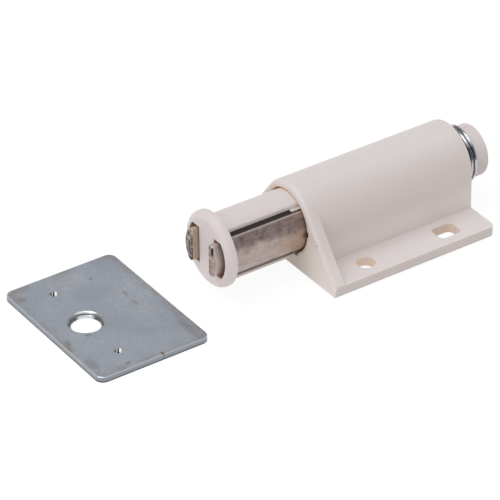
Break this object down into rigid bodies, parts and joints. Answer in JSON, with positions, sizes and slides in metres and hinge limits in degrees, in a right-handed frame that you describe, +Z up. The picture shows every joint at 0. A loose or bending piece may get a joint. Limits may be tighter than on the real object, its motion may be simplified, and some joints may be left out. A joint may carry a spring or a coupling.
{
  "type": "magnetic push latch",
  "caption": "Cabinet push latch: flanged moulded housing, sprung magnetic plunger and a steel strike plate",
  "frame": {"origin": "middle of the base's front edge, on the surface that the latch is screwed to", "axes": "+Z up from the mounting surface, +Y along the plunger towards the rear, +X across; the plunger points to -Y"},
  "size_m": [0.0379, 0.1, 0.0182],
  "materials": {
    "housing_plastic": "satin",
    "plunger_plastic": "satin",
    "ferrite": "matte",
    "pole_steel": "mottled nickel",
    "spring_steel": "bright",
    "zinc_plate": "zinc plated"
  },
  "bodies": {
    "base": {"housing": "housing_plastic", "spring": "spring_steel", "strike_plate": "zinc_plate"},
    "plunger": {"plunger_carrier": "plunger_plastic", "plunger_sleeve": "plunger_plastic", "magnet": "ferrite", "pole_plate_left": "pole_steel", "pole_plate_right": "pole_steel"},
    "follower": {"cam_follower": "spring_steel"}
  },
  "joints": [
    {"name": "plunger_slide", "type": "slide", "parent": "base", "child": "plunger", "axis": [0, 1, 0], "range_m": [0, 0.013], "stiffness_N_per_m": 150, "springref_m": -0.014, "deforming": ["spring"]},
    {"name": "follower_swing", "type": "hinge", "parent": "base", "child": "follower", "pos_m": [0, 0.03067, 0], "axis": [0, 0, -1], "range_deg": [0, 20.16]}
  ]
}
